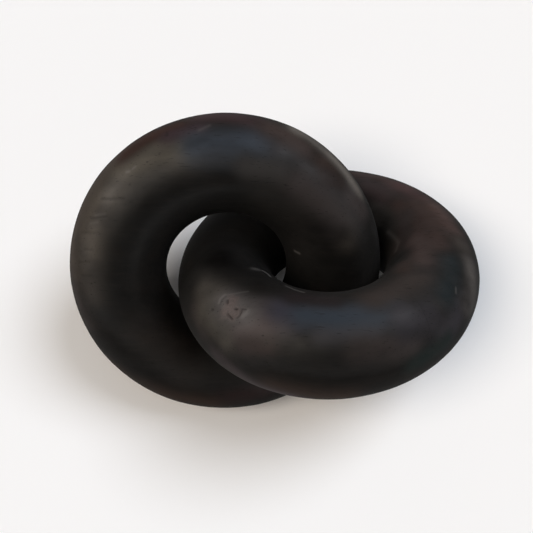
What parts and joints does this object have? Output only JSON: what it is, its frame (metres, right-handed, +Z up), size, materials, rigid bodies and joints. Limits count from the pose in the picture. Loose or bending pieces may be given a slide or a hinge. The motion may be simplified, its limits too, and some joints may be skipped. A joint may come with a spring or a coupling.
{
  "type": "linked ring sculpture",
  "caption": "Dark wooden ornament of fat closed rings, each passing through the other's hole, that lies loose on a table or shelf.",
  "frame": {"origin": "on the table, under the middle of the object's bounding box", "axes": "+Z up from the table; +X runs level from the left ring's centre to the right ring's, along the object's length"},
  "size_m": [0.16, 0.1098, 0.093],
  "materials": {
    "stained_wood": "black stained and waxed, satin",
    "dowel_wood": "bare"
  },
  "bodies": {
    "left_link": {"left_ring": "stained_wood"},
    "right_link": {"right_ring_outer_half": "stained_wood", "right_ring_inner_half": "stained_wood", "joint_1_dowel_a": "dowel_wood", "joint_1_dowel_b": "dowel_wood", "joint_2_dowel_a": "dowel_wood", "joint_2_dowel_b": "dowel_wood"}
  },
  "joints": [
    {"name": "right_link_round_left", "type": "hinge", "parent": "left_link", "child": "right_link", "pos_m": [-0.01964, 0, 0.04627], "axis": [0.0922, -0.6562, 0.749], "continuous": true}
  ]
}
